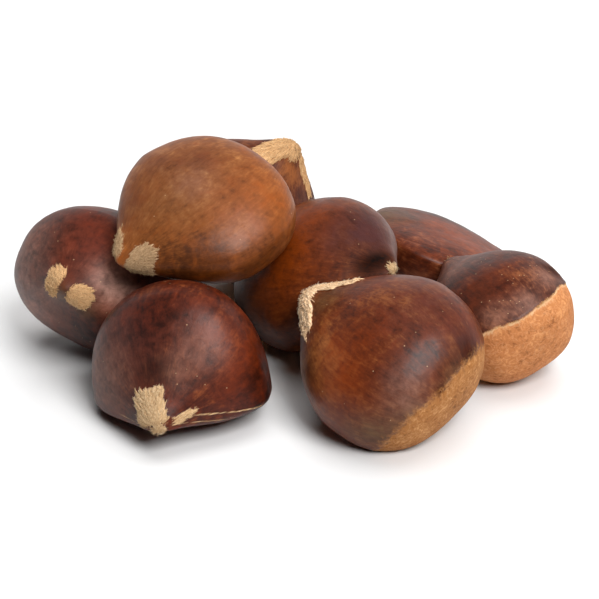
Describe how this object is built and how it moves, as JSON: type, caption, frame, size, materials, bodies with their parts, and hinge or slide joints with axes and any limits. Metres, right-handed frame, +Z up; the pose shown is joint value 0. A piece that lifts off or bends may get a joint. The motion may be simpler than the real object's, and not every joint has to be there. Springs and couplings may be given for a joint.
{
  "type": "heap of roasted chestnuts",
  "caption": "Small heap of whole roasted chestnuts in their polished brown shells, with pointed tufted tips and pale tan base scars, one lying on top of the others.",
  "frame": {"origin": "middle of the heap's box, on the surface that it stands on", "axes": "+X to the right along the heap's front, its longest side; front faces -Y; +Z up"},
  "size_m": [0.1112, 0.086, 0.042],
  "materials": {
    "chestnut_shell": "polished shell, satin gloss, streaked from tip to base",
    "red_brown_shell": "polished shell, deep red-brown, satin gloss",
    "cocoa_shell": "polished shell, dark brown, satin gloss",
    "tawny_shell": "polished shell, light orange-brown, satin gloss",
    "base_scar": "matte, fibrous, tan",
    "tip_felt": "matte, short silky hairs, cream"
  },
  "bodies": {
    "root": {"chestnut_centre": "chestnut_shell", "chestnut_front_right": "chestnut_shell", "chestnut_front_left": "red_brown_shell", "chestnut_right": "cocoa_shell", "chestnut_left": "red_brown_shell", "chestnut_back_right": "tawny_shell", "chestnut_back_top": "tawny_shell", "chestnut_top": "tawny_shell"}
  },
  "joints": []
}
